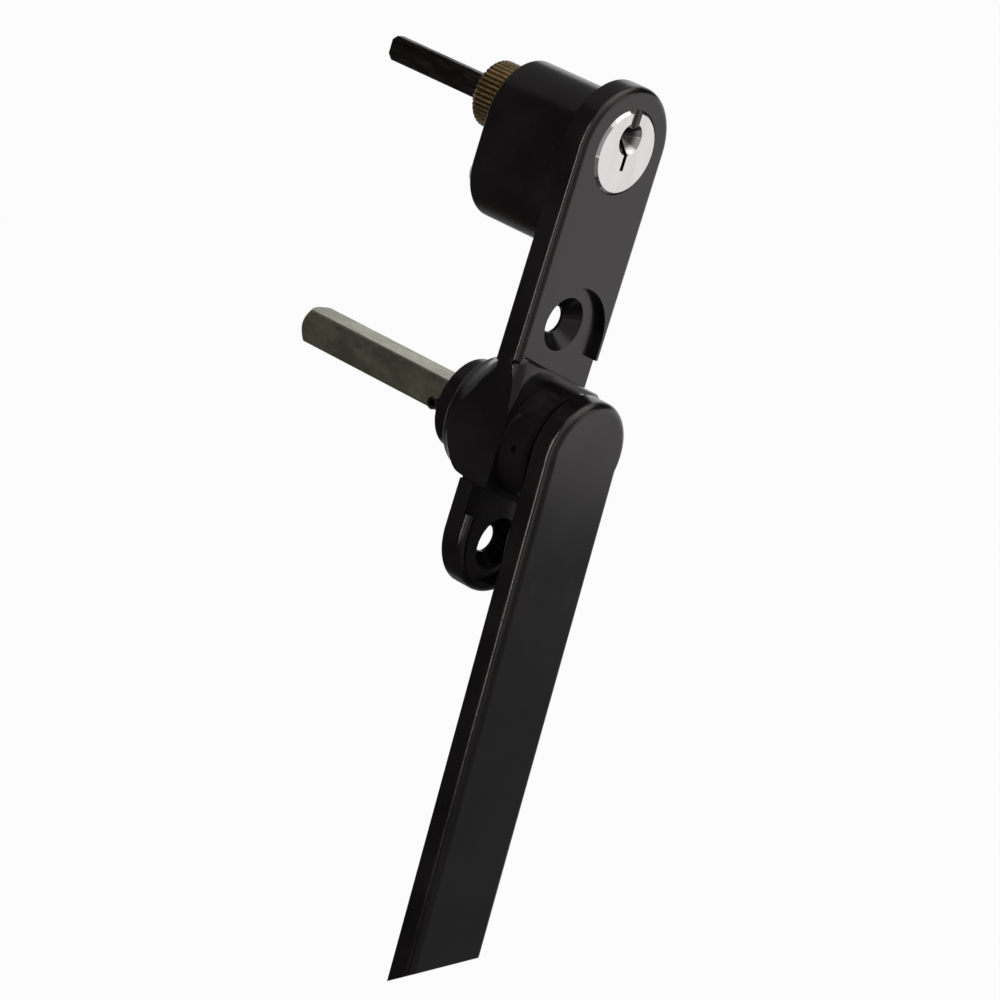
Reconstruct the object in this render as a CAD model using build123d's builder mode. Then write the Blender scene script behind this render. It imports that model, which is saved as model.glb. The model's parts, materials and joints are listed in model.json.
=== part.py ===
"""Bi-fold door handle: a lockable backplate with a hanging lever on a square spindle.

Frame: X to the right, Y into the door, Z up. The origin is on the spindle's axis, in the
plane of the backplate's mounting face. All sizes are in millimetres.
"""
import os
from math import cos, pi, radians, sin, sqrt

from build123d import *

# Backplate
plate_width = 30.0
plate_thick = 6.0
floor_thick = 4.0            # thickness in the pockets and across the middle
foot_z = -23.2               # centre of the rounded foot, and of the lower pocket
lock_z = 68.4                # lock axis, and centre of the rounded top
rim_width = 1.9              # rim left standing round each pocket
middle_half = 18.7           # half height of the cut across the middle
front_round = 1.6            # rounding of the plate's front edges
hole_z = 26.8                # fixing holes, above and below the spindle
hole_r = 3.2
sink_r = 6.4

# Hub of the backplate: a block in front of the plate that runs back into a round boss
hub_angle = -17.0            # the block's turn, seen from the front
hub_long = 37.0              # the hub where it is widest
hub_short = 30.4
hub_corner = 3.0
hub_widest_y = -3.4
hub_rear_long = 35.0         # the hub just behind the mounting face
hub_rear_short = 29.6
hub_rear_corner = 6.0
hub_rear_y = 1.0
hub_face = 29.6              # the hub's front face, where the lever turns
hub_face_corner = 7.0
hub_rise = 3.0               # in front of the plate's middle
boss_r = 14.0
boss_corner = 13.8           # all but round
boss_depth = 11.0
boss_round = 2.4
bush_wall = 1.5

# Lock housing behind the plate
housing_r = 13.0
housing_low_z = 55.1
housing_high_z = 66.6
housing_depth = 24.5
housing_round = 1.2

# Lever
lever_angle = 3.3            # the lever hangs a little past upright
neck_r = 9.4
neck_length = 6.6
neck_foot = 0.7              # straight edge at the neck's foot
neck_cove = 4.3
head_cove = 1.0
head_r = 13.25
head_shift = 1.8             # head and arm sit a little to the right of the spindle
head_lift = 0.6
arm_shift = 1.5
arm_width = 25.8
arm_thick = 6.5
arm_length = 127.8           # spindle axis to the end, on the front face
arm_end_bevel = 37.5         # the end reaches lower at the back
arm_round = 2.0
arm_back_round = 0.9
shank_r = 8.0

# Spindle and what holds it
spindle_side = 8.0
spindle_corner = 0.9
spindle_reach = 66.0         # end of the spindle behind the mounting face
spindle_tip = 3.6            # radius of the turned end
socket_end = 3.0             # lever metal left in front of the socket
washer_thick = 0.6
washer_r = 12.0
collar_r = 11.0
collar_thick = 4.0
collar_round = 0.8
pin_r = 1.5
pin_length = 21.0
pin_bore_r = 0.9
grub_r = 2.5
grub_sink = 0.8              # the grub screw's face below the neck
grub_hex = 2.5
grub_hex_depth = 2.0

# Lock cylinder
face_r = 10.0
face_proud = 0.5
face_thick = 3.5
face_bevel = 0.7
plug_r = 6.3
shell_r = 9.0
bible_width = 8.0
bible_low_z = 46.5
cover_thick = 1.0
cover_width = 4.4
shell_flange_thick = 1.5
shell_flange_inset = 1.6
chamber_count = 5
chamber_pitch = 3.9
chamber_first = 3.0
chamber_r = 1.5
key_pin_lengths = (3.4, 2.6, 3.8, 3.0, 2.4)
driver_length = 4.6
spring_wire_r = 0.2
spring_turns = 6
keyway_width = 1.2
keyway_low = 4.2             # below the lock axis
funnel_r = 3.8
funnel_rise = 3.2            # the funnel's centre above the lock axis
slot_width = 3.0
slot_depth = 1.4

# Cap, tailpiece and the screws behind the lock
cap_r = 7.6
cap_length = 9.2
cap_wall = 1.6
plug_rear_r = 5.2
cap_hole_r = 3.4
knurl_count = 48
knurl_depth = 0.45
tail_height = 5.8
tail_thick = 2.0
tail_reach = 66.0
tail_chamfer = 1.2
tail_head_r = 4.8
tail_head_thick = 1.2
lock_screw_x = 6.2
lock_screw_z = 52.0
lock_screw_r = 1.6
lock_screw_length = 9.0
lock_head_r = 3.4
lock_head_height = 2.8
lock_head_round = 1.2
drive_width = 0.9
drive_depth = 1.3

# Clearances
fit = 0.02                   # pressed or seated pieces
running = 0.06               # a turning piece in its bore, and end float
sliding = 0.08               # square socket, screw threads and chambers
face_gap = 0.3               # between sweeping faces

# Worked out from the sizes above
plate_r = plate_width / 2
pocket_z = -foot_z
pocket_r = plate_r - rim_width
bush_r = shank_r + running + bush_wall
hub_front = -floor_thick - hub_rise
washer_back = hub_front + washer_thick
neck_back = hub_front - running
cove_start = neck_back - neck_foot
arm_back = neck_back - neck_length
arm_front = arm_back - arm_thick
shank_end = boss_depth - face_gap
collar_front = boss_depth + washer_thick + running
collar_back = collar_front + collar_thick
pin_y = collar_back + running + pin_r
grub_y = (neck_back + arm_back) / 2
socket_front = arm_front + socket_end
face_back = -plate_thick - face_proud + face_thick
shell_front = face_back + running
shell_back = housing_depth
cap_front = shell_back + running
cap_back = cap_front + cap_length
tail_head_back = cap_back - cap_wall - fit
plug_back = tail_head_back - tail_head_thick - fit
cover_z = bible_low_z + cover_thick
pin_stack_r = chamber_r - sliding
spring_r = pin_stack_r - spring_wire_r
driver_top = lock_z - plug_r - running - fit
key_pin_low = lock_z - sqrt(plug_r**2 - chamber_r**2) + fit
chamber_ys = [chamber_first + chamber_pitch * i for i in range(chamber_count)]
lever_right = Vector(cos(radians(lever_angle)), 0, sin(radians(lever_angle)))
lever_up = Vector(-sin(radians(lever_angle)), 0, cos(radians(lever_angle)))
end_normal = lever_up * cos(radians(arm_end_bevel)) + Vector(0, sin(radians(arm_end_bevel)), 0)


def facing(y):
    """Sketch plane at depth y, seen from the front: X right, Z up. A negative amount goes to the door."""
    return Plane.XZ.offset(-y)


def turned(y, angle):
    """The same plane, turned about the spindle's axis, anticlockwise as seen from the front."""
    across = (cos(radians(angle)), 0, sin(radians(angle)))
    return Plane(origin=(0, y, 0), x_dir=across, z_dir=(0, -1, 0))


def across_lever(y):
    """Plane through the spindle's axis at depth y, facing the lever's left side."""
    return Plane(origin=(0, y, 0), x_dir=(0, 1, 0), z_dir=-lever_right)


def upright(y):
    """Level plane through the lock's axis at depth y, facing down the pin chambers."""
    return Plane(origin=(0, y, lock_z), x_dir=(1, 0, 0), z_dir=(0, 0, -1))


def finish(builder, name):
    builder.part.label = name
    export_step(builder.part, f"parts/{name}.step")


os.makedirs("parts", exist_ok=True)

# Backplate: plate, lock housing and hub boss in one casting
with BuildPart() as backplate:
    with BuildSketch(facing(0)):
        with Locations((0, (lock_z + foot_z) / 2)):
            SlotCenterToCenter(lock_z - foot_z, plate_width, rotation=90)
    extrude(amount=plate_thick)
    fillet(backplate.faces().sort_by(Axis.Y)[0].edges(), radius=front_round)
    with BuildSketch(facing(-plate_thick)):
        for side in (1, -1):
            with Locations((0, side * pocket_z)):
                Circle(pocket_r)
            with Locations((0, side * (pocket_z + middle_half) / 2)):
                Rectangle(2 * pocket_r, pocket_z - middle_half)
        Rectangle(plate_width, 2 * middle_half)
    extrude(amount=-(plate_thick - floor_thick), mode=Mode.SUBTRACT)
    with BuildSketch(turned(hub_front, hub_angle)):
        RectangleRounded(hub_face, hub_face, hub_face_corner)
    with BuildSketch(turned(hub_widest_y, hub_angle)):
        RectangleRounded(hub_long, hub_short, hub_corner)
    with BuildSketch(turned(hub_rear_y, hub_angle)):
        RectangleRounded(hub_rear_long, hub_rear_short, hub_rear_corner)
    with BuildSketch(turned(boss_depth, hub_angle)):
        RectangleRounded(2 * boss_r, 2 * boss_r, boss_corner)
    loft()
    fillet(backplate.faces().sort_by(Axis.Y)[-1].edges(), radius=boss_round)
    with BuildSketch(facing(0)):
        with Locations((0, (housing_low_z + housing_high_z) / 2)):
            SlotCenterToCenter(housing_high_z - housing_low_z, 2 * housing_r, rotation=90)
    extrude(amount=-housing_depth)
    fillet(backplate.faces().sort_by(Axis.Y)[-1].edges(), radius=housing_round)
    with Locations(facing(-floor_thick)):
        with Locations((0, hole_z), (0, -hole_z)):
            CounterSinkHole(hole_r, sink_r, counter_sink_angle=90)
    with BuildSketch(facing(boss_depth)):
        Circle(bush_r + fit)
    extrude(amount=boss_depth - hub_front, mode=Mode.SUBTRACT)
    with BuildSketch(facing(hub_front)):
        Circle(washer_r + fit)
    extrude(amount=-washer_thick, mode=Mode.SUBTRACT)
    with BuildSketch(facing(-plate_thick)):
        with Locations((0, lock_z)):
            Circle(face_r + running)
    extrude(amount=-(plate_thick + face_back + running), mode=Mode.SUBTRACT)
    with BuildSketch(facing(housing_depth)):
        with Locations((0, lock_z)):
            Circle(shell_r + fit)
        with Locations((0, (lock_z + bible_low_z) / 2)):
            Rectangle(bible_width + 2 * fit, lock_z - bible_low_z + 2 * fit)
    extrude(amount=housing_depth - shell_front + fit, mode=Mode.SUBTRACT)
    with BuildSketch(facing(housing_depth)):
        with Locations((0, (housing_low_z + housing_high_z) / 2)):
            SlotCenterToCenter(
                housing_high_z - housing_low_z, 2 * (housing_r - shell_flange_inset + fit), rotation=90
            )
    extrude(amount=shell_flange_thick + fit, mode=Mode.SUBTRACT)
    with Locations(facing(housing_depth).rotated((180, 0, 0))):
        with Locations((lock_screw_x, -lock_screw_z), (-lock_screw_x, -lock_screw_z)):
            Hole(lock_screw_r + sliding, lock_screw_length + face_gap)
finish(backplate, "backplate")

# Bearing bush pressed into the boss
with BuildPart() as hub_bush:
    with BuildSketch(facing(boss_depth)):
        Circle(bush_r)
        Circle(shank_r + running, mode=Mode.SUBTRACT)
    extrude(amount=boss_depth - washer_back)
finish(hub_bush, "hub_bush")

# Washers, one let into the hub's front and one behind the boss
with BuildPart() as front_washer:
    with BuildSketch(facing(washer_back)):
        Circle(washer_r)
        Circle(shank_r + face_gap, mode=Mode.SUBTRACT)
    extrude(amount=washer_thick)
finish(front_washer, "front_washer")

with BuildPart() as rear_washer:
    with BuildSketch(facing(boss_depth)):
        Circle(collar_r)
        Circle(shank_r + face_gap, mode=Mode.SUBTRACT)
    extrude(amount=-washer_thick)
finish(rear_washer, "rear_washer")

# Lever: coved neck, head and arm, with the shank behind
with BuildPart() as lever:
    with BuildSketch(turned(arm_back, lever_angle)):
        with Locations((head_shift, head_lift)):
            Circle(head_r)
        with Locations((arm_shift, -(arm_length + arm_width) / 2)):
            Rectangle(arm_width, arm_length + arm_width)
    extrude(amount=arm_thick)
    end_point = lever_up * -arm_length + Vector(0, arm_front, 0)
    split(bisect_by=Plane(origin=end_point, z_dir=end_normal), keep=Keep.TOP)
    front_edges = lever.faces().sort_by(Axis.Y)[0].edges().sort_by(Axis.Z)[1:]
    fillet(front_edges, radius=arm_round)
    back_edges = lever.faces().sort_by(Axis.Y)[-1].edges().sort_by(Axis.Z)[1:]
    fillet(back_edges, radius=arm_back_round)
    with BuildSketch(Plane.XY):
        with BuildLine():
            foot = CenterArc((neck_r + neck_cove, cove_start - neck_cove), neck_cove, 90, 90)
            top = CenterArc((neck_r + head_cove, arm_back + head_cove), head_cove, 180, 90)
            Line(foot @ 1, top @ 0)
            Polyline(top @ 1, (0, arm_back), (0, neck_back), (neck_r + neck_cove, neck_back), foot @ 0)
        make_face()
    revolve(axis=Axis.Y)
    with BuildSketch(facing(neck_back)):
        Circle(shank_r)
    extrude(amount=-(shank_end - neck_back))
    with BuildSketch(turned(shank_end, lever_angle)):
        Rectangle(spindle_side + 2 * sliding, spindle_side + 2 * sliding)
    extrude(amount=shank_end - socket_front, mode=Mode.SUBTRACT)
    with BuildSketch(across_lever(grub_y)):
        Circle(grub_r + sliding)
    extrude(amount=head_r, mode=Mode.SUBTRACT)
finish(lever, "lever")

# Square spindle with rounded corners, and a hole for the pin behind the collar
with BuildPart() as spindle:
    with BuildSketch(turned(socket_front + fit, lever_angle)):
        Rectangle(spindle_side, spindle_side)
    extrude(amount=-(spindle_reach - socket_front - fit))
    fillet(spindle.edges().filter_by(Axis.Y), radius=spindle_corner)
    with BuildSketch(Plane.XY):
        with BuildLine():
            Polyline(
                (spindle_tip, spindle_reach), (spindle_side, spindle_reach),
                (spindle_side, spindle_reach - spindle_side + spindle_tip), close=True,
            )
        make_face()
    revolve(axis=Axis.Y, mode=Mode.SUBTRACT)
    with BuildSketch(across_lever(pin_y).offset(-spindle_side)):
        Circle(pin_r + fit)
    extrude(amount=2 * spindle_side, mode=Mode.SUBTRACT)
finish(spindle, "spindle")

# Grub screw that holds the spindle in the neck
with BuildPart() as grub_screw:
    with BuildSketch(across_lever(grub_y).offset(spindle_side / 2 + fit)):
        Circle(grub_r)
    extrude(amount=neck_r - grub_sink - spindle_side / 2 - fit)
    with BuildSketch(across_lever(grub_y).offset(neck_r - grub_sink)):
        RegularPolygon(grub_hex / 2, 6, major_radius=False)
    extrude(amount=-grub_hex_depth, mode=Mode.SUBTRACT)
finish(grub_screw, "grub_screw")

# Collar behind the boss, and the hollow pin that keeps it there
with BuildPart() as hub_collar:
    with BuildSketch(facing(collar_front)):
        Circle(collar_r)
    extrude(amount=-collar_thick)
    fillet(hub_collar.faces().sort_by(Axis.Y)[-1].edges(), radius=collar_round)
    with BuildSketch(turned(collar_front, lever_angle)):
        Rectangle(spindle_side + 2 * sliding, spindle_side + 2 * sliding)
    extrude(amount=-collar_thick, mode=Mode.SUBTRACT)
finish(hub_collar, "hub_collar")

with BuildPart() as spindle_pin:
    with BuildSketch(across_lever(pin_y).offset(-pin_length / 2)):
        Circle(pin_r)
        Circle(pin_bore_r, mode=Mode.SUBTRACT)
    extrude(amount=pin_length)
finish(spindle_pin, "spindle_pin")

# Lock plug: bevelled face disc, barrel with keyway and chambers, threaded rear end
with BuildPart() as lock_plug:
    with BuildSketch(facing(face_back)):
        with Locations((0, lock_z)):
            Circle(face_r)
    extrude(amount=face_thick)
    chamfer(lock_plug.faces().sort_by(Axis.Y)[0].edges(), length=face_bevel)
    with BuildSketch(facing(face_back)):
        with Locations((0, lock_z)):
            Circle(plug_r)
    extrude(amount=-(shell_back - face_back))
    with BuildSketch(facing(shell_back)):
        with Locations((0, lock_z)):
            Circle(plug_rear_r)
    extrude(amount=-(plug_back - shell_back))
    face_front = face_back - face_thick
    with BuildSketch(facing(face_front)):
        with Locations((0, lock_z + (funnel_rise - keyway_low) / 2)):
            Rectangle(keyway_width, funnel_rise + keyway_low)
    extrude(amount=-(chamber_ys[-1] + chamber_pitch - face_front), mode=Mode.SUBTRACT)
    with Locations(facing(face_front)):
        with Locations((0, lock_z + funnel_rise)):
            CounterSinkHole(keyway_width / 2, funnel_r, depth=face_thick, counter_sink_angle=90)
    with BuildSketch(facing(face_front)):
        with Locations((0, lock_z + (funnel_rise + face_r) / 2)):
            Rectangle(slot_width, face_r - funnel_rise)
    extrude(amount=-slot_depth, mode=Mode.SUBTRACT)
    for y in chamber_ys:
        with BuildSketch(upright(y)):
            Circle(chamber_r)
        extrude(amount=2 * plug_r, mode=Mode.SUBTRACT)
finish(lock_plug, "lock_plug")

# Cylinder shell: barrel with the pin chambers below, and a flange at the housing's rear
with BuildPart() as cylinder_shell:
    with BuildSketch(facing(shell_front)):
        with Locations((0, lock_z)):
            Circle(shell_r)
        with Locations((0, (lock_z + bible_low_z) / 2)):
            Rectangle(bible_width, lock_z - bible_low_z)
    extrude(amount=-(shell_back - shell_front))
    with BuildSketch(facing(shell_back)):
        with Locations((0, (housing_low_z + housing_high_z) / 2)):
            SlotCenterToCenter(
                housing_high_z - housing_low_z, 2 * (housing_r - shell_flange_inset), rotation=90
            )
    extrude(amount=shell_flange_thick)
    with BuildSketch(facing(shell_back)):
        with Locations((0, lock_z)):
            Circle(plug_r + running)
        with Locations((lock_screw_x, lock_screw_z), (-lock_screw_x, lock_screw_z)):
            Circle(lock_screw_r + sliding)
    extrude(amount=shell_back - shell_front, mode=Mode.SUBTRACT)
    for y in chamber_ys:
        with BuildSketch(upright(y)):
            Circle(chamber_r)
        extrude(amount=lock_z - bible_low_z, mode=Mode.SUBTRACT)
    with BuildSketch(facing(shell_back - shell_flange_thick)):
        with Locations((0, (bible_low_z + cover_z) / 2)):
            Rectangle(cover_width + 2 * fit, cover_thick)
    extrude(amount=shell_back - shell_flange_thick - shell_front, mode=Mode.SUBTRACT)
finish(cylinder_shell, "cylinder_shell")

# Strip that closes the pin chambers
with BuildPart() as chamber_cover:
    with BuildSketch(facing(shell_back - shell_flange_thick - fit)):
        with Locations((0, (bible_low_z + cover_z) / 2)):
            Rectangle(cover_width, cover_thick - 2 * fit)
    extrude(amount=shell_back - shell_flange_thick - shell_front - fit)
finish(chamber_cover, "chamber_cover")

# Pin stacks, standing at the shear line as with the key in
with BuildPart() as key_pins:
    for y, length in zip(chamber_ys, key_pin_lengths):
        with BuildSketch(upright(y).offset(lock_z - key_pin_low)):
            Circle(pin_stack_r)
        extrude(amount=-length)
    chamfer(key_pins.edges().filter_by(GeomType.CIRCLE).filter_by(
        lambda e: e.center().Z > key_pin_low + fit
    ), length=pin_stack_r / 2)
finish(key_pins, "key_pins")

with BuildPart() as driver_pins:
    for y in chamber_ys:
        with BuildSketch(upright(y).offset(lock_z - driver_top)):
            Circle(pin_stack_r)
        extrude(amount=driver_length)
finish(driver_pins, "driver_pins")

with BuildPart() as pin_springs:
    spring_height = driver_top - driver_length - cover_z - 2 * (spring_wire_r + fit)
    for y in chamber_ys:
        with BuildLine() as coil:
            Helix(
                spring_height / spring_turns, spring_height, spring_r,
                center=(0, y, cover_z + spring_wire_r + fit),
            )
        with BuildSketch(coil.line ^ 0):
            Circle(spring_wire_r)
        sweep(path=coil.line, is_frenet=True)
finish(pin_springs, "pin_springs")

# Knurled cap screwed on the plug's rear end
with BuildPart() as knurled_cap:
    with BuildSketch(facing(cap_front)):
        with Locations((0, lock_z)):
            Polygon(*[
                (
                    (cap_r - knurl_depth * (i % 2)) * cos(pi * i / knurl_count),
                    (cap_r - knurl_depth * (i % 2)) * sin(pi * i / knurl_count),
                )
                for i in range(2 * knurl_count)
            ], align=None)
    extrude(amount=-cap_length)
    with BuildSketch(facing(cap_front)):
        with Locations((0, lock_z)):
            Circle(plug_rear_r + sliding)
    extrude(amount=-(cap_length - cap_wall), mode=Mode.SUBTRACT)
    with BuildSketch(facing(cap_front)):
        with Locations((0, lock_z)):
            Circle(cap_hole_r)
    extrude(amount=-cap_length, mode=Mode.SUBTRACT)
finish(knurled_cap, "knurled_cap")

# Flat tailpiece, its round head held inside the cap
with BuildPart() as tailpiece:
    with BuildSketch(facing(tail_head_back)):
        with Locations((0, lock_z)):
            Rectangle(tail_thick, tail_height)
    extrude(amount=-(tail_reach - tail_head_back))
    tip = tailpiece.faces().sort_by(Axis.Y)[-1].edges().filter_by(Axis.X)
    chamfer(tip, length=tail_chamfer)
    with BuildSketch(facing(tail_head_back)):
        with Locations((0, lock_z)):
            Circle(tail_head_r)
    extrude(amount=tail_head_thick)
finish(tailpiece, "tailpiece")

# Two pan-head screws that hold the shell in the housing
with BuildPart() as lock_screws:
    for side in (1, -1):
        with BuildSketch(facing(housing_depth)):
            with Locations((side * lock_screw_x, lock_screw_z)):
                Circle(lock_head_r)
        extrude(amount=-lock_head_height)
    fillet(lock_screws.faces().group_by(Axis.Y)[-1].edges(), radius=lock_head_round)
    for side in (1, -1):
        with BuildSketch(facing(housing_depth)):
            with Locations((side * lock_screw_x, lock_screw_z)):
                Circle(lock_screw_r)
        extrude(amount=lock_screw_length)
        with BuildSketch(facing(housing_depth + lock_head_height)):
            with Locations((side * lock_screw_x, lock_screw_z)):
                Rectangle(lock_head_r, drive_width)
                Rectangle(drive_width, lock_head_r)
        extrude(amount=drive_depth, mode=Mode.SUBTRACT)
finish(lock_screws, "lock_screws")
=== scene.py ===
import json
import math

import bpy
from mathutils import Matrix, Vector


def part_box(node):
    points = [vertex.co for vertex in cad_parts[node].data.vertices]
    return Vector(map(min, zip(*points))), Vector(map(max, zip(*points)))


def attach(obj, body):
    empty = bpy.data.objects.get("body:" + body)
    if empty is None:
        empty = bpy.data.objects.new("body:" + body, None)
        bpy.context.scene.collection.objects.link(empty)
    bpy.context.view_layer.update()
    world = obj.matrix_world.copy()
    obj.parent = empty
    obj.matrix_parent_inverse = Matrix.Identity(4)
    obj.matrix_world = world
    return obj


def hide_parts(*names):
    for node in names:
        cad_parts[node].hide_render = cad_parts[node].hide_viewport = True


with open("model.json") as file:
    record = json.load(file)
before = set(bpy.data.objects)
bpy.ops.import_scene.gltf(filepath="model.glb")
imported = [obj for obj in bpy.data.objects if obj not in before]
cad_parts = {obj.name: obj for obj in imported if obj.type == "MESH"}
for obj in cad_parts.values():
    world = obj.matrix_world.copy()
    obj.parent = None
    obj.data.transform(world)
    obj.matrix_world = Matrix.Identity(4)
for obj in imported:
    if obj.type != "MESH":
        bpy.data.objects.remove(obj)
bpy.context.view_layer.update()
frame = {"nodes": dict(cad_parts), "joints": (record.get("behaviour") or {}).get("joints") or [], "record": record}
nodes = frame["nodes"]
joints = {joint["name"]: joint for joint in frame["joints"]}

# Lock: its face and its axis in the frame, and how deep behind the face the painted shade in the keyway starts and
# is full
lock_face_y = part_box("lock_plug")[0].y
lock_height = joints["lock_turn"]["pos_m"][2]
keyway_shade_starts = 0.0003
keyway_shade_full = 0.0016

# Hub block: its left side is planed off at flush_side, between two heights
flush_side = -0.0142
flush_low = -0.0116
flush_high = 0.0170
planing_width = 0.03
planing_depth = 0.08

# Drum round the lever's neck, and the small hole in its side
drum_radius = 0.0137
drum_front = -0.0139
drum_back = -0.0071
drum_sides = 160
drum_edge = 0.0002
grub_hole_place = (-0.0135, -0.0112, -0.0004)
grub_hole_radius = 0.0010
grub_hole_depth = 0.0024
grub_hole_sides = 48

# Brass cap: its ridges, each with points in the valley beside it, its rims and its recess
cap_radius = 0.0080
ridge_count = 42
ridge_depth = 0.00055
points_per_ridge = 4
valley_points = (0, 1)
cap_rim = 0.0007
rim_taper = 0.92
recess_share = 0.48
recess_depth = 0.0013

# Painted shade in the cap's valleys, by its depth below the crests
valley_shade_fades_above = 0.0001
valley_shade_full_from = 0.0006
valley_shade_full_to = 0.0007
valley_shade_fades_below = 0.0010

# Largest angle between faces, in degrees, that is still shaded smooth
coat_smoothing = 34
cap_smoothing = 28

# Tests on a mesh: how near points are merged or count as on one plane, how squarely a face looks
merge_reach = 0.000002
same_plane = 1e-5
squarely = 0.9

# Room: floor, level of light, and what lamps and cards are turned to
floor_height = -0.30
floor_width = 30.0
floor_shade = 0.86
floor_roughness = 0.9
floor_whiteness = 0.94
room_light = 0.55
card_lift = 0.01
hub_middle = (0.0, 0.0, 0.0)
plate_middle = (0.0, 0.0, 0.05)
handle_middle = (0.0, 0.0, -0.02)

# Camera at the photograph's viewpoint, in metres and degrees, with lens and film in millimetres
camera_place = (-0.7443, -0.5455, 0.2369)
camera_turn = (73.9185, -16.5650, -49.1395)
camera_lens = 151.45
camera_film = 36.0
camera_near = 0.05
camera_far = 60.0


def start_group(name, values, masks):
    """A named effect with its sockets: a vector and its values go in, masks come out."""
    group = bpy.data.node_groups.new(name, "ShaderNodeTree")
    group.interface.new_socket("Vector", in_out="INPUT", socket_type="NodeSocketVector")
    for label, value in values.items():
        socket = group.interface.new_socket(label, in_out="INPUT", socket_type="NodeSocketFloat")
        socket.default_value = value
    for label in masks:
        group.interface.new_socket(label, in_out="OUTPUT", socket_type="NodeSocketFloat")
    given = group.nodes.new("NodeGroupInput")
    result = group.nodes.new("NodeGroupOutput")
    return group, given, result


def add(tree, kind, **settings):
    """A node with its settings; a key that names a socket sets that socket's value."""
    node = tree.nodes.new(kind)
    for key, value in settings.items():
        if key in node.bl_rna.properties:
            setattr(node, key, value)
        else:
            node.inputs[key.replace("_", " ")].default_value = value
    return node


def join(tree, start, end):
    """A link from an output to an input."""
    tree.links.new(start, end)


def ramp(tree, value, low, high, low_to=0.0, high_to=1.0):
    """A value stretched from one range to another and kept inside it."""
    node = add(
        tree, "ShaderNodeMapRange", interpolation_type="SMOOTHSTEP",
        From_Min=low, From_Max=high, To_Min=low_to, To_Max=high_to,
    )
    join(tree, value, node.inputs["Value"])
    return node.outputs["Result"]


def sums(tree, operation, first, second):
    """One step of arithmetic on two values, each a socket or a number."""
    node = add(tree, "ShaderNodeMath", operation=operation)
    for socket, value in zip(node.inputs, (first, second)):
        if isinstance(value, (int, float)):
            socket.default_value = value
        else:
            join(tree, value, socket)
    return node.outputs["Value"]


def blend_colours(tree, mask, first, second, strength=1.0):
    """The first colour where the mask is 0, the second at its strength where the mask is 1."""
    if strength < 1.0:
        mask = sums(tree, "MULTIPLY", mask, strength)
    node = add(tree, "ShaderNodeMix", data_type="RGBA")
    join(tree, mask, node.inputs["Factor"])
    colour_inputs = [socket for socket in node.inputs if socket.type == "RGBA"]
    for socket, colour in zip(colour_inputs, (first, second)):
        if isinstance(colour, tuple):
            socket.default_value = (*colour, 1.0)
        else:
            join(tree, colour, socket)
    return next(socket for socket in node.outputs if socket.type == "RGBA")


def texture(group, given, kind, scale, **settings):
    """A texture on the group's vector, at the scale that the named input gives."""
    node = add(group, kind, **settings)
    join(group, given.outputs["Vector"], node.inputs["Vector"])
    join(group, given.outputs[scale], node.inputs["Scale"])
    return node.outputs


def make_coat_grain():
    """The slow tone, fine peel and dust specks of a sprayed or moulded skin."""
    group, given, result = start_group(
        "coat_grain",
        {"Peel Scale": 2500.0, "Cloud Scale": 55.0, "Dust Scale": 900.0},
        ("Tone", "Peel", "Dust"),
    )
    cloud = texture(group, given, "ShaderNodeTexNoise", "Cloud Scale", Detail=4.0, Roughness=0.6)
    join(group, ramp(group, cloud["Fac"], 0.3, 0.7), result.inputs["Tone"])
    peel = texture(group, given, "ShaderNodeTexNoise", "Peel Scale", Detail=2.0, Roughness=0.45)
    join(group, peel["Fac"], result.inputs["Peel"])
    speck = texture(group, given, "ShaderNodeTexVoronoi", "Dust Scale", Randomness=1.0)
    small = ramp(group, speck["Distance"], 0.05, 0.16, 1.0, 0.0)
    chance = add(group, "ShaderNodeSeparateColor")
    join(group, speck["Color"], chance.inputs["Color"])
    few = ramp(group, chance.outputs["Red"], 0.86, 0.98)
    join(group, sums(group, "MULTIPLY", small, few), result.inputs["Dust"])
    return group


def make_tool_marks():
    """Lines, stains and scratches of worked metal; a squeezed vector draws them out."""
    group, given, result = start_group(
        "tool_marks",
        {"Line Scale": 900.0, "Stain Scale": 120.0},
        ("Lines", "Stain", "Scratch"),
    )
    lines = texture(group, given, "ShaderNodeTexNoise", "Line Scale", Detail=5.0, Roughness=0.65)
    join(group, ramp(group, lines["Fac"], 0.3, 0.7), result.inputs["Lines"])
    stain = texture(group, given, "ShaderNodeTexNoise", "Stain Scale", Detail=6.0, Roughness=0.62)
    join(group, ramp(group, stain["Fac"], 0.36, 0.66), result.inputs["Stain"])
    join(group, ramp(group, lines["Fac"], 0.64, 0.74), result.inputs["Scratch"])
    return group


def make_rubbed_edges():
    """A mask that rises on corners, broken up so that the wear isn't even."""
    group, given, result = start_group(
        "rubbed_edges",
        {"Reach": 0.0004, "Break Scale": 700.0},
        ("Mask",),
    )
    corner = add(group, "ShaderNodeBevel", samples=6)
    join(group, given.outputs["Reach"], corner.inputs["Radius"])
    face = add(group, "ShaderNodeNewGeometry")
    turn = add(group, "ShaderNodeVectorMath", operation="DOT_PRODUCT")
    join(group, corner.outputs["Normal"], turn.inputs[0])
    join(group, face.outputs["Normal"], turn.inputs[1])
    rise = ramp(group, turn.outputs["Value"], 0.80, 0.99, 1.0, 0.0)
    broken = texture(group, given, "ShaderNodeTexNoise", "Break Scale", Detail=4.0, Roughness=0.6)
    patches = ramp(group, broken["Fac"], 0.38, 0.62)
    join(group, sums(group, "MULTIPLY", rise, patches), result.inputs["Mask"])
    return group


coat_grain = make_coat_grain()
tool_marks = make_tool_marks()
rubbed_edges = make_rubbed_edges()


def start_finish(name, metallic):
    """A new finish: its nodes, its shader and the piece's own coordinates."""
    finish = bpy.data.materials.new(name)
    finish.use_nodes = True
    tree = finish.node_tree
    shader = tree.nodes["Principled BSDF"]
    shader.inputs["Metallic"].default_value = metallic
    place = add(tree, "ShaderNodeTexCoord").outputs["Object"]
    return finish, tree, shader, place


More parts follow.
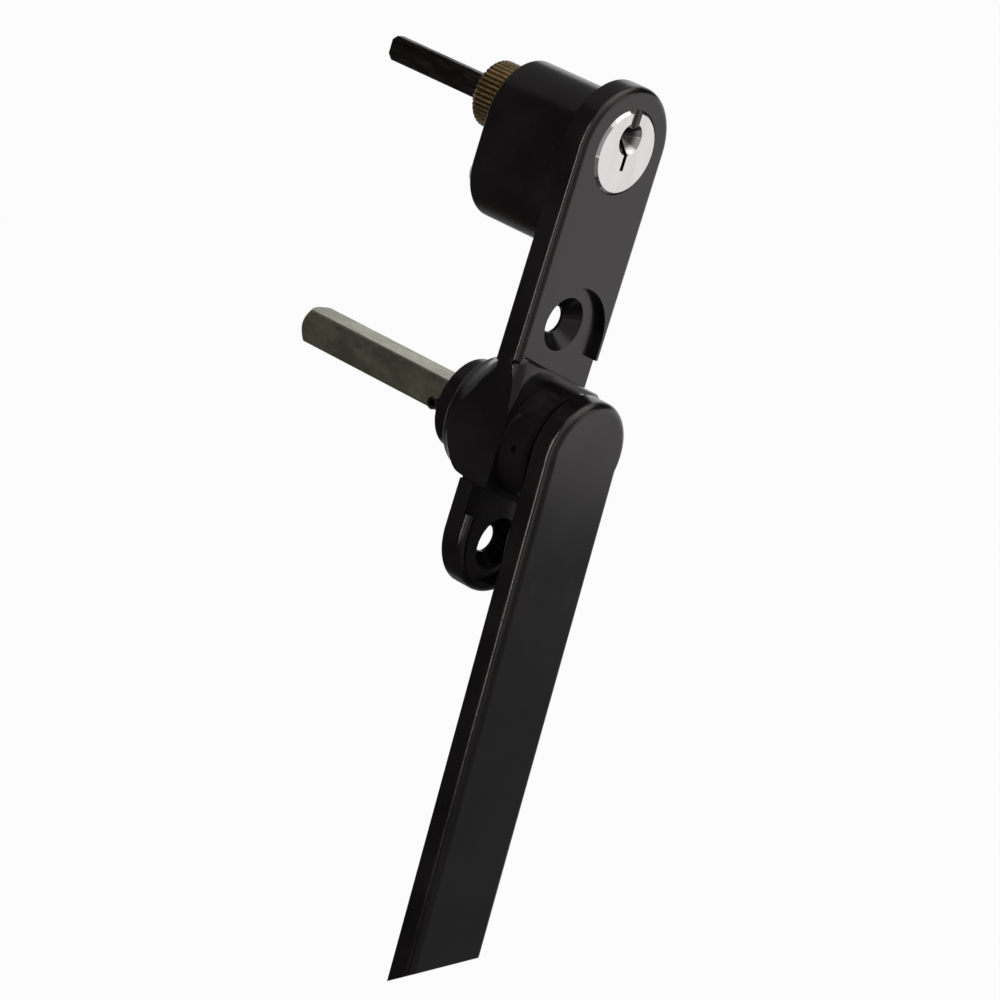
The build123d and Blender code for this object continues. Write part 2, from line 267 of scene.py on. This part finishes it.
def stretched(tree, place, scale):
    """The coordinates squeezed along the lines of a drawn or turned metal."""
    node = add(tree, "ShaderNodeMapping", Scale=scale)
    join(tree, place, node.inputs["Vector"])
    return node.outputs["Vector"]


def use(tree, group, vector, **values):
    """One effect group placed in a finish with its own values."""
    node = add(tree, "ShaderNodeGroup", node_tree=group, **values)
    join(tree, vector, node.inputs["Vector"])
    return node.outputs


def set_roughness(tree, shader, mask, smoothest, roughest, low=0.0, high=1.0):
    """The shader's roughness, led by a mask from its smoothest to its roughest."""
    join(tree, ramp(tree, mask, low, high, smoothest, roughest), shader.inputs["Roughness"])


def raise_surface(tree, shader, height, strength, distance):
    """A fine relief from a height mask."""
    bump = add(tree, "ShaderNodeBump", Strength=strength, Distance=distance)
    join(tree, height, bump.inputs["Height"])
    join(tree, bump.outputs["Normal"], shader.inputs["Normal"])


def make_black_coat():
    """Satin black powder coat: soft clouds of tone, a fine peel and a little dust."""
    deep_black = (0.0036, 0.0031, 0.0031)
    soft_black = (0.0060, 0.0052, 0.0051)
    rubbed_black = (0.012, 0.011, 0.011)
    dust_grey = (0.04, 0.038, 0.036)
    warm_shine = (1.0, 0.92, 0.91, 1.0)
    finish, tree, shader, place = start_finish("black_coat", metallic=0.0)
    grain = use(tree, coat_grain, place, Peel_Scale=2600.0, Cloud_Scale=42.0, Dust_Scale=620.0)
    worn = use(tree, rubbed_edges, place, Reach=0.00035, Break_Scale=260.0)
    tone = blend_colours(tree, grain["Tone"], deep_black, soft_black)
    rubbed = blend_colours(tree, worn["Mask"], tone, rubbed_black, strength=0.5)
    dusty = blend_colours(tree, grain["Dust"], rubbed, dust_grey, strength=0.25)
    join(tree, dusty, shader.inputs["Base Color"])
    shader.inputs["Specular Tint"].default_value = warm_shine
    set_roughness(tree, shader, grain["Tone"], smoothest=0.19, roughest=0.25)
    raise_surface(tree, shader, grain["Peel"], strength=0.06, distance=0.00003)
    return finish


def make_black_nylon():
    """Moulded black nylon, duller than the coat."""
    deep_black = (0.006, 0.006, 0.006)
    soft_black = (0.013, 0.0125, 0.0125)
    finish, tree, shader, place = start_finish("black_nylon", metallic=0.0)
    grain = use(tree, coat_grain, place, Peel_Scale=3800.0, Cloud_Scale=90.0, Dust_Scale=800.0)
    tone = blend_colours(tree, grain["Tone"], deep_black, soft_black)
    join(tree, tone, shader.inputs["Base Color"])
    set_roughness(tree, shader, grain["Peel"], smoothest=0.46, roughest=0.62, low=0.2, high=0.8)
    raise_surface(tree, shader, grain["Peel"], strength=0.3, distance=0.00003)
    return finish


def make_passivated_steel():
    """Olive yellow passivate over zinc on the drawn square bar, scuffed along its length."""
    pale_olive = (0.30, 0.287, 0.207)
    dark_olive = (0.165, 0.165, 0.118)
    drawn_olive = (0.31, 0.30, 0.22)
    scuffed_zinc = (0.66, 0.65, 0.56)
    bare_zinc = (0.58, 0.56, 0.46)
    finish, tree, shader, place = start_finish("passivated_steel", metallic=0.85)
    along = stretched(tree, place, (1.0, 0.45, 1.0))
    marks = use(tree, tool_marks, along, Line_Scale=900.0, Stain_Scale=170.0)
    grain = use(tree, coat_grain, place, Peel_Scale=1800.0, Cloud_Scale=160.0, Dust_Scale=420.0)
    worn = use(tree, rubbed_edges, place, Reach=0.0007, Break_Scale=520.0)
    olive = blend_colours(tree, marks["Stain"], pale_olive, dark_olive)
    lined = blend_colours(tree, marks["Lines"], olive, drawn_olive, strength=0.3)
    scuffed = blend_colours(tree, grain["Dust"], lined, scuffed_zinc)
    bare = blend_colours(tree, worn["Mask"], scuffed, bare_zinc)
    join(tree, bare, shader.inputs["Base Color"])
    set_roughness(tree, shader, marks["Lines"], smoothest=0.17, roughest=0.27)
    raise_surface(tree, shader, marks["Lines"], strength=0.25, distance=0.00003)
    return finish


def make_dark_steel():
    """Oiled dark steel of the tail bar, pin and grub screw."""
    oiled = (0.026, 0.0235, 0.018)
    oil_stain = (0.013, 0.0115, 0.009)
    scratched = (0.075, 0.070, 0.054)
    bare_steel = (0.17, 0.16, 0.13)
    finish, tree, shader, place = start_finish("dark_steel", metallic=0.85)
    along = stretched(tree, place, (1.0, 0.10, 1.0))
    marks = use(tree, tool_marks, along, Line_Scale=1700.0, Stain_Scale=260.0)
    worn = use(tree, rubbed_edges, place, Reach=0.00035, Break_Scale=600.0)
    dark = blend_colours(tree, marks["Stain"], oiled, oil_stain)
    lined = blend_colours(tree, marks["Scratch"], dark, scratched, strength=0.5)
    bare = blend_colours(tree, worn["Mask"], lined, bare_steel, strength=0.7)
    join(tree, bare, shader.inputs["Base Color"])
    set_roughness(tree, shader, marks["Lines"], smoothest=0.28, roughest=0.50)
    raise_surface(tree, shader, marks["Lines"], strength=0.2, distance=0.00002)
    return finish


def make_bright_steel():
    """Bright zinc on the small screws and springs."""
    bright_zinc = (0.74, 0.74, 0.73)
    dull_zinc = (0.56, 0.56, 0.55)
    finish, tree, shader, place = start_finish("bright_steel", metallic=0.6)
    marks = use(tree, tool_marks, place, Line_Scale=1800.0, Stain_Scale=420.0)
    bright = blend_colours(tree, marks["Stain"], bright_zinc, dull_zinc)
    join(tree, bright, shader.inputs["Base Color"])
    set_roughness(tree, shader, marks["Lines"], smoothest=0.16, roughest=0.32)
    return finish


def make_chrome_face():
    """Polished plate on the lock's face, with hairlines from the key and painted shade in the keyway, darker with
    depth.
    """
    bright_plate = (0.76, 0.725, 0.725)
    soft_plate = (0.70, 0.665, 0.668)
    hairline = (0.58, 0.56, 0.56)
    keyway_shade = (0.035, 0.028, 0.026)
    finish, tree, shader, place = start_finish("chrome_face", metallic=1.0)
    hair = stretched(tree, place, (1.0, 1.0, 0.12))
    marks = use(tree, tool_marks, hair, Line_Scale=1300.0, Stain_Scale=160.0)
    bright = blend_colours(tree, marks["Stain"], bright_plate, soft_plate)
    marked = blend_colours(tree, marks["Scratch"], bright, hairline, strength=0.12)
    axes = add(tree, "ShaderNodeSeparateXYZ")
    join(tree, place, axes.inputs["Vector"])
    # Painted shade: the keyway turns dark with its depth behind the lock's face
    inside = ramp(tree, axes.outputs["Y"], lock_face_y + keyway_shade_starts, lock_face_y + keyway_shade_full)
    keyway_shaded = blend_colours(tree, inside, marked, keyway_shade, strength=0.93)
    join(tree, keyway_shaded, shader.inputs["Base Color"])
    set_roughness(tree, shader, marks["Lines"], smoothest=0.06, roughest=0.13)
    return finish


def mark_valley_shade(tree, place):
    """A mask of painted shade in the cap's valleys, by the distance from the lock's axis."""
    across = add(
        tree, "ShaderNodeMapping", Location=(0.0, 0.0, -lock_height), Scale=(1.0, 0.0, 1.0)
    )
    join(tree, place, across.inputs["Vector"])
    reach = add(tree, "ShaderNodeVectorMath", operation="LENGTH")
    join(tree, across.outputs["Vector"], reach.inputs[0])
    radius = reach.outputs["Value"]
    below_crests = ramp(
        tree, radius, cap_radius - valley_shade_full_from, cap_radius - valley_shade_fades_above, 1.0, 0.0
    )
    outside_core = ramp(tree, radius, cap_radius - valley_shade_fades_below, cap_radius - valley_shade_full_to)
    return sums(tree, "MULTIPLY", below_crests, outside_core)


def make_brass():
    """Machined brass: stained, rubbed bright on its edges, with painted shade in the cap's valleys."""
    clean_brass = (0.66, 0.49, 0.27)
    stained_brass = (0.56, 0.40, 0.21)
    rubbed_brass = (0.72, 0.55, 0.29)
    valley_shade = (0.085, 0.052, 0.022)
    finish, tree, shader, place = start_finish("brass", metallic=1.0)
    marks = use(tree, tool_marks, place, Line_Scale=1100.0, Stain_Scale=240.0)
    worn = use(tree, rubbed_edges, place, Reach=0.00022, Break_Scale=500.0)
    stained = blend_colours(tree, marks["Stain"], clean_brass, stained_brass)
    rubbed = blend_colours(tree, worn["Mask"], stained, rubbed_brass)
    # Painted shade: the valleys between the ridges turn dark below the crests
    valley_shaded = blend_colours(tree, mark_valley_shade(tree, place), rubbed, valley_shade, strength=0.9)
    join(tree, valley_shaded, shader.inputs["Base Color"])
    set_roughness(tree, shader, marks["Lines"], smoothest=0.28, roughest=0.38)
    raise_surface(tree, shader, marks["Lines"], strength=0.05, distance=0.00001)
    return finish


finishes = {
    "black_coat": make_black_coat(),
    "black_nylon": make_black_nylon(),
    "passivated_steel": make_passivated_steel(),
    "dark_steel": make_dark_steel(),
    "bright_steel": make_bright_steel(),
    "chrome_face": make_chrome_face(),
    "brass": make_brass(),
}


def coat_piece(piece, slot):
    """The piece takes the finish of one slot and no other."""
    piece.data.materials.clear()
    piece.data.materials.append(finishes[slot])


def coat_cad_nodes():
    """Each node takes the finish that the record names for it."""
    for entry in frame["record"]["subparts"]:
        coat_piece(nodes[entry["node"]], entry["material_slot"])


def start_piece(piece):
    """Nothing else selected, and the piece active."""
    bpy.ops.object.select_all(action="DESELECT")
    piece.select_set(True)
    bpy.context.view_layer.objects.active = piece


def round_bar(name, radius, low_y, high_y, height_z, sides):
    """A closed round bar along the spindle's direction, its place in its mesh."""
    bpy.ops.object.select_all(action="DESELECT")
    bpy.ops.mesh.primitive_cylinder_add(
        vertices=sides, radius=radius, depth=high_y - low_y, end_fill_type="NGON",
        location=(0.0, (low_y + high_y) / 2, height_z), rotation=(math.pi / 2, 0.0, 0.0),
    )
    bar = bpy.context.object
    bar.name = name
    bpy.ops.object.transform_apply(location=True, rotation=True, scale=True)
    return bar


def clear_picks(kind):
    """Nothing picked in the active piece, and the next picks by vertex, edge or face."""
    bpy.ops.object.mode_set(mode="EDIT")
    bpy.ops.mesh.select_mode(type=kind)
    bpy.ops.mesh.select_all(action="DESELECT")
    bpy.ops.object.mode_set(mode="OBJECT")


def pick_points(piece, wanted):
    """In edit mode, only the points that the test accepts are selected."""
    clear_picks("VERT")
    for point in piece.data.vertices:
        point.select = wanted(point.co)
    bpy.ops.object.mode_set(mode="EDIT")


def pick_edges(piece, wanted):
    """In edit mode, only the edges whose two ends pass the test are selected."""
    clear_picks("EDGE")
    points = piece.data.vertices
    for edge in piece.data.edges:
        edge.select = all(wanted(points[end].co) for end in edge.vertices)
    bpy.ops.object.mode_set(mode="EDIT")


def pick_faces(piece, wanted):
    """In edit mode, only the faces that the test accepts are selected."""
    clear_picks("FACE")
    for face in piece.data.polygons:
        face.select = wanted(face)
    bpy.ops.object.mode_set(mode="EDIT")


def draw_out(distance):
    """The picked faces extruded along the spindle's direction."""
    bpy.ops.mesh.extrude_region_move(TRANSFORM_OT_translate={"value": (0.0, distance, 0.0)})


def narrow(share, height_z):
    """All that is picked drawn in to a share of its distance from the axis at that height."""
    bpy.ops.transform.resize(value=(share, 1.0, share), center_override=(0.0, 0.0, height_z))


def cut_away(piece, cutter):
    """The cutter's shape taken out of the piece, and the cutter removed."""
    start_piece(piece)
    bpy.ops.object.modifier_add(type="BOOLEAN")
    cut = piece.modifiers[-1]
    cut.operation = "DIFFERENCE"
    cut.object = cutter
    bpy.ops.object.modifier_apply(modifier=cut.name)
    bpy.data.objects.remove(cutter)


def smooth_piece(piece, degrees):
    """Smooth shading up to an angle, flat faces kept flat."""
    bpy.ops.object.mode_set(mode="OBJECT")
    start_piece(piece)
    bpy.ops.object.shade_smooth_by_angle(angle=math.radians(degrees))
    bpy.ops.object.modifier_add(type="WEIGHTED_NORMAL")
    weights = piece.modifiers[-1]
    weights.keep_sharp = True
    weights.weight = 100
    bpy.ops.object.modifier_apply(modifier=weights.name)


def make_plate_body():
    """The backplate with the hub block's left side planed flush with the boss behind it."""
    piece = bpy.data.objects.new("plate_body", nodes["backplate"].data.copy())
    bpy.context.scene.collection.objects.link(piece)
    start_piece(piece)
    bpy.ops.mesh.customdata_custom_splitnormals_clear()
    bpy.ops.object.mode_set(mode="EDIT")
    bpy.ops.mesh.select_all(action="SELECT")
    bpy.ops.mesh.remove_doubles(threshold=merge_reach)
    bpy.ops.object.mode_set(mode="OBJECT")
    bpy.ops.object.select_all(action="DESELECT")
    bpy.ops.mesh.primitive_cube_add(
        size=1.0,
        location=(flush_side - planing_width / 2, 0.0, (flush_low + flush_high) / 2),
        scale=(planing_width, planing_depth, flush_high - flush_low),
    )
    cut_away(piece, bpy.context.object)
    smooth_piece(piece, coat_smoothing)
    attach(piece, "plate")
    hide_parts("backplate")


def make_neck_drum():
    """A plain drum round the lever's neck, eased at its back edge, with a small hole in its side."""
    piece = round_bar("neck_drum", drum_radius, drum_front, drum_back, 0.0, drum_sides)
    pick_edges(piece, lambda point: abs(point.y - drum_back) < same_plane)
    bpy.ops.mesh.bevel(offset=drum_edge, segments=2)
    bpy.ops.object.mode_set(mode="OBJECT")
    bpy.ops.object.select_all(action="DESELECT")
    bpy.ops.mesh.primitive_cylinder_add(
        vertices=grub_hole_sides, radius=grub_hole_radius, depth=grub_hole_depth,
        location=grub_hole_place, rotation=(0.0, math.pi / 2, 0.0),
    )
    cut_away(piece, bpy.context.object)
    smooth_piece(piece, coat_smoothing)
    coat_piece(piece, "black_coat")
    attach(piece, "lever")


def make_ridged_cap():
    """The brass cap: straight ridges round it, chamfered rims and the recess round the tail bar."""
    low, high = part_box("knurled_cap")
    sides = points_per_ridge * ridge_count
    step = 2 * math.pi / sides
    front, back = low.y + cap_rim, high.y - cap_rim
    piece = round_bar("ridged_cap", cap_radius, front, back, lock_height, sides)

    def in_valley(point):
        turn = math.atan2(point.z - lock_height, point.x)
        return round(turn / step) % points_per_ridge in valley_points

    pick_points(piece, in_valley)
    narrow((cap_radius - ridge_depth) / cap_radius, lock_height)
    for side in (-1, 1):
        pick_faces(piece, lambda face: face.normal.y * side > squarely)
        draw_out(side * cap_rim)
        narrow(rim_taper, lock_height)
    draw_out(0.0)
    narrow(recess_share, lock_height)
    draw_out(-recess_depth)
    smooth_piece(piece, cap_smoothing)
    coat_piece(piece, "brass")
    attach(piece, "plug")
    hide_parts("knurled_cap")


def seen_directly(tree):
    """1 to the camera, in reflections and through glass, and 0 to all other light."""
    path = add(tree, "ShaderNodeLightPath")
    seen = sums(tree, "MAXIMUM", path.outputs["Is Camera Ray"], path.outputs["Is Glossy Ray"])
    return sums(tree, "MAXIMUM", seen, path.outputs["Is Transmission Ray"])


def lay_floor():
    """A pale floor, white to the camera and in polished metal, that keeps a soft shadow."""
    bpy.ops.object.select_all(action="DESELECT")
    bpy.ops.mesh.primitive_plane_add(size=floor_width, location=(0, 0, floor_height))
    floor = bpy.context.object
    floor.name = "studio_floor"
    paper = bpy.data.materials.new("pale_paper")
    paper.use_nodes = True
    tree = paper.node_tree
    shader = tree.nodes["Principled BSDF"]
    shader.inputs["Base Color"].default_value = (floor_shade, floor_shade, floor_shade, 1.0)
    shader.inputs["Roughness"].default_value = floor_roughness
    glow = add(tree, "ShaderNodeEmission", Color=(1.0, 1.0, 1.0, 1.0), Strength=1.0)
    seen = seen_directly(tree)
    mix = add(tree, "ShaderNodeMixShader")
    share, shaded, white = mix.inputs
    join(tree, sums(tree, "MULTIPLY", seen, floor_whiteness), share)
    join(tree, shader.outputs["BSDF"], shaded)
    join(tree, glow.outputs["Emission"], white)
    join(tree, mix.outputs["Shader"], tree.nodes["Material Output"].inputs["Surface"])
    floor.data.materials.append(paper)


def light_room():
    """White all round to the camera and in reflections, and a softer level for everything else."""
    world = bpy.data.worlds.new("studio_room")
    bpy.context.scene.world = world
    world.use_nodes = True
    tree = world.node_tree
    back = tree.nodes["Background"]
    back.inputs["Color"].default_value = (1.0, 1.0, 1.0, 1.0)
    join(tree, ramp(tree, seen_directly(tree), 0.0, 1.0, room_light, 1.0), back.inputs["Strength"])


def aim(place, target):
    """The turn that points an object's underside from its place at the target."""
    line = [t - p for t, p in zip(target, place)]
    flat = math.hypot(line[0], line[1])
    return (math.atan2(flat, -line[2]), 0.0, math.atan2(line[1], line[0]) - math.pi / 2)


def hang_lamp(name, place, target, size, power):
    """A soft rectangular lamp turned to the target, unseen by the camera."""
    bpy.ops.object.light_add(type="AREA", location=place, rotation=aim(place, target))
    lamp = bpy.context.object
    lamp.name = name
    lamp.data.shape = "RECTANGLE"
    lamp.data.size, lamp.data.size_y = size
    lamp.data.energy = power
    lamp.visible_camera = False


def stand_card(name, place, target, size, shade):
    """A dark card that only polished and satin faces see, to keep their sides dark."""
    bpy.ops.object.select_all(action="DESELECT")
    bpy.ops.mesh.primitive_plane_add(size=1.0, location=place, rotation=aim(place, target))
    card = bpy.context.object
    card.name = name
    card.scale = (*size, 1.0)
    dull = bpy.data.materials.new(name)
    dull.use_nodes = True
    tree = dull.node_tree
    even = add(tree, "ShaderNodeEmission", Color=(shade, shade, shade, 1.0), Strength=1.0)
    join(tree, even.outputs["Emission"], tree.nodes["Material Output"].inputs["Surface"])
    card.data.materials.append(dull)
    card.visible_camera = False
    card.visible_diffuse = False
    card.visible_shadow = False


def lay_card(name, place, size, shade):
    """A dark card that lies just above the floor."""
    stand_card(name, (*place, floor_height + card_lift), (*place, 0.0), size, shade)


def hang_lamps():
    """A thin strip on the left for the bright edges, and a soft box above."""
    hang_lamp("left_strip", (-0.49, 0.06, 0.05), plate_middle, size=(0.035, 0.67), power=1.2)
    hang_lamp("top_box", (0.1, -0.2, 0.95), handle_middle, size=(0.8, 0.8), power=1.5)


def set_out_cards():
    """Nearly black cards on the left and high on the right, grey ones in front, behind and low."""
    stand_card("card_left_back", (-0.44, 0.41, 0.05), plate_middle, size=(2.0, 1.7), shade=0.015)
    lay_card("card_left_low", (-0.52, 0.25), size=(0.95, 1.3), shade=0.015)
    stand_card("card_front", (-0.25, -0.95, 0.05), plate_middle, size=(1.3, 1.6), shade=0.36)
    lay_card("card_front_low", (-0.12, -0.62), size=(1.3, 0.8), shade=0.18)
    lay_card("card_back_floor", (0.15, 0.60), size=(0.9, 0.7), shade=0.20)
    stand_card("card_back", (0.145, 0.68, 0.14), hub_middle, size=(0.85, 0.45), shade=0.20)
    stand_card("card_back_high", (0.12, 0.52, 0.50), hub_middle, size=(0.9, 0.75), shade=0.18)
    stand_card("card_right_high", (0.72, -0.23, 0.52), hub_middle, size=(0.9, 0.6), shade=0.03)
    stand_card(
        "card_right_low", (0.42, -0.305, -0.39), (0.0, 0.0, -0.39), size=(0.9, 0.5), shade=0.20
    )
    lay_card("card_right_floor", (0.22, -0.16), size=(0.55, 0.55), shade=0.18)


def place_camera():
    """The camera where the photograph was taken from."""
    turn = [math.radians(angle) for angle in camera_turn]
    bpy.ops.object.camera_add(location=camera_place, rotation=turn)
    camera = bpy.context.object
    camera.name = "photo_camera"
    camera.data.lens = camera_lens
    camera.data.sensor_width = camera_film
    camera.data.clip_start = camera_near
    camera.data.clip_end = camera_far
    bpy.context.scene.camera = camera


coat_cad_nodes()
make_plate_body()
make_neck_drum()
make_ridged_cap()
lay_floor()
light_room()
hang_lamps()
set_out_cards()
place_camera()
bpy.context.scene.view_settings.view_transform = "Standard"
